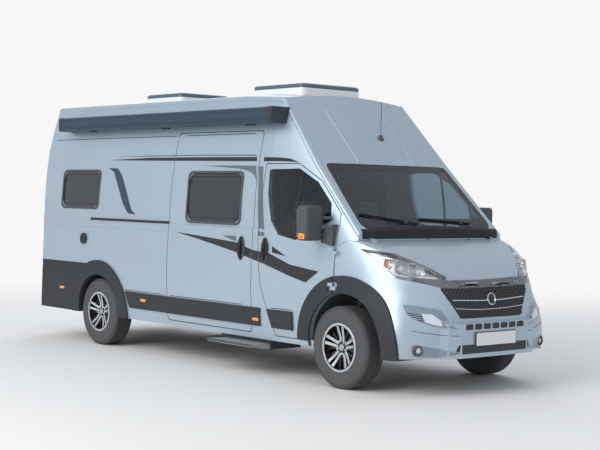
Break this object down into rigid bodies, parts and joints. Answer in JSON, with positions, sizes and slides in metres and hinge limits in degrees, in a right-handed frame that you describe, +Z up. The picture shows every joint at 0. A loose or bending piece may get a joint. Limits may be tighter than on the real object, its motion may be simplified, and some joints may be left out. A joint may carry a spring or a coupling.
{
  "type": "camper van",
  "caption": "High-roof camper van with hinged doors, bonnet and roof hatches, steered front wheels and a pull-out step.",
  "frame": {"origin": "on the ground under the middle of the overall length and width", "axes": "+X to the front, +Y to the left, +Z up"},
  "size_m": [6.3515, 2.508, 2.8425],
  "materials": {
    "body_paint": "metallic silver blue paint",
    "roof_paint": "metallic silver blue paint",
    "dark_plastic": "grained dark grey plastic",
    "black_gloss": "black gloss plastic",
    "lamp": "clear lamp with a bright reflector",
    "tail_lamp": "red lamp",
    "glass": "clear glass",
    "dark_glass": "dark tinted acrylic",
    "tyre": "black rubber",
    "alloy": "black alloy with machined faces",
    "steel": "dark coated steel",
    "cast": "cast iron",
    "aluminium": "anodised aluminium",
    "awning_grey": "anthracite powder coat",
    "white_plastic": "white plastic",
    "seat": "grey fabric",
    "dash": "dark soft plastic",
    "wood": "light wood veneer",
    "mattress": "light fabric",
    "board": "floor board"
  },
  "bodies": {
    "body": {"antenna": "dark_plastic", "awning": "awning_grey", "cab_frame": "body_paint", "cowl": "dark_plastic", "dashboard": "dash", "engine_block": "cast", "fenders": "body_paint", "floor": "board", "front_bumper": "body_paint", "front_seats": "seat", "furniture": "wood", "grille": "black_gloss", "hatch_frames": "white_plastic", "headlamps": "lamp", "mattress": "mattress", "rear_axle": "cast", "rear_bumper": "body_paint", "roof": "roof_paint", "side_left": "body_paint", "side_right": "body_paint", "side_trim": "dark_plastic", "side_windows": "dark_glass", "sliding_door": "body_paint", "step_housing": "steel", "tail_lamps": "tail_lamp", "tanks": "dark_plastic", "underframe": "steel", "wheel_houses": "dark_plastic", "windscreen": "glass"},
    "door_left": {"door_front_left": "body_paint", "door_glass_left": "glass", "door_trim_left": "dark_plastic", "mirror_left": "dark_plastic"},
    "door_right": {"door_front_right": "body_paint", "door_glass_right": "glass", "door_trim_right": "dark_plastic", "mirror_right": "dark_plastic"},
    "rear_door_left": {"door_rear_left": "body_paint", "rear_glass_left": "dark_glass"},
    "rear_door_right": {"door_rear_right": "body_paint", "rear_glass_right": "dark_glass"},
    "bonnet_lid": {"bonnet": "body_paint"},
    "front_hatch": {"hatch_lid_front": "white_plastic"},
    "rear_hatch": {"hatch_lid_rear": "white_plastic"},
    "step": {"entrance_step": "aluminium"},
    "upright_left": {"knuckle_left": "cast"},
    "upright_right": {"knuckle_right": "cast"},
    "wheel_front_left": {"tyre_front_left": "tyre", "rim_front_left": "alloy"},
    "wheel_front_right": {"tyre_front_right": "tyre", "rim_front_right": "alloy"},
    "wheel_rear_left": {"tyre_rear_left": "tyre", "rim_rear_left": "alloy"},
    "wheel_rear_right": {"tyre_rear_right": "tyre", "rim_rear_right": "alloy"},
    "steering": {"steering_wheel": "dash"}
  },
  "joints": [
    {"name": "steer_left", "type": "hinge", "parent": "body", "child": "upright_left", "pos_m": [2.2335, 0.86, 0.372], "axis": [0, -0.1908, 0.9816], "range_deg": [-33, 33]},
    {"name": "steer_right", "type": "hinge", "parent": "body", "child": "upright_right", "pos_m": [2.2335, -0.86, 0.372], "axis": [0, 0.1908, 0.9816], "range_deg": [-33, 33]},
    {"name": "steering_wheel_turn", "type": "hinge", "parent": "body", "child": "steering", "pos_m": [1.6735, 0.43, 1.3], "axis": [0.8192, 0, -0.5736], "range_deg": [-500, 500]},
    {"name": "spin_front_left", "type": "hinge", "parent": "upright_left", "child": "wheel_front_left", "pos_m": [2.2335, 0.905, 0.372], "axis": [0, 1, 0], "continuous": true},
    {"name": "spin_front_right", "type": "hinge", "parent": "upright_right", "child": "wheel_front_right", "pos_m": [2.2335, -0.905, 0.372], "axis": [0, 1, 0], "continuous": true},
    {"name": "spin_rear_left", "type": "hinge", "parent": "body", "child": "wheel_rear_left", "pos_m": [-1.8015, 0.895, 0.372], "axis": [0, 1, 0], "continuous": true},
    {"name": "spin_rear_right", "type": "hinge", "parent": "body", "child": "wheel_rear_right", "pos_m": [-1.8015, -0.895, 0.372], "axis": [0, 1, 0], "continuous": true},
    {"name": "door_left_hinge", "type": "hinge", "parent": "body", "child": "door_left", "pos_m": [2.1515, 1.045, 0.915], "axis": [0, 0, -1], "range_deg": [0, 68]},
    {"name": "door_right_hinge", "type": "hinge", "parent": "body", "child": "door_right", "pos_m": [2.1515, -1.045, 0.915], "axis": [0, 0, 1], "range_deg": [0, 68]},
    {"name": "rear_door_left_hinge", "type": "hinge", "parent": "body", "child": "rear_door_left", "pos_m": [-3.16985, 0.863, 0.57], "axis": [-0.038, 0, -0.9993], "range_deg": [0, 165]},
    {"name": "rear_door_right_hinge", "type": "hinge", "parent": "body", "child": "rear_door_right", "pos_m": [-3.16985, -0.863, 0.57], "axis": [0.038, 0, 0.9993], "range_deg": [0, 165]},
    {"name": "bonnet_hinge", "type": "hinge", "parent": "body", "child": "bonnet_lid", "pos_m": [2.3935, 0, 1.347], "axis": [0, -1, 0], "range_deg": [0, 52]},
    {"name": "front_hatch_hinge", "type": "hinge", "parent": "body", "child": "front_hatch", "pos_m": [0.1245, 0, 2.79815], "axis": [0, -1, 0], "range_deg": [0, 50]},
    {"name": "rear_hatch_hinge", "type": "hinge", "parent": "body", "child": "rear_hatch", "pos_m": [-1.9255, 0, 2.79815], "axis": [0, -1, 0], "range_deg": [0, 50]},
    {"name": "step_slide", "type": "slide", "parent": "body", "child": "step", "axis": [0, 1, 0], "range_m": [0, 0.29]}
  ],
  "couplings": [
    {"joint": "steer_right", "follows": "steer_left", "ratio": 1},
    {"joint": "steering_wheel_turn", "follows": "steer_left", "ratio": -15}
  ]
}
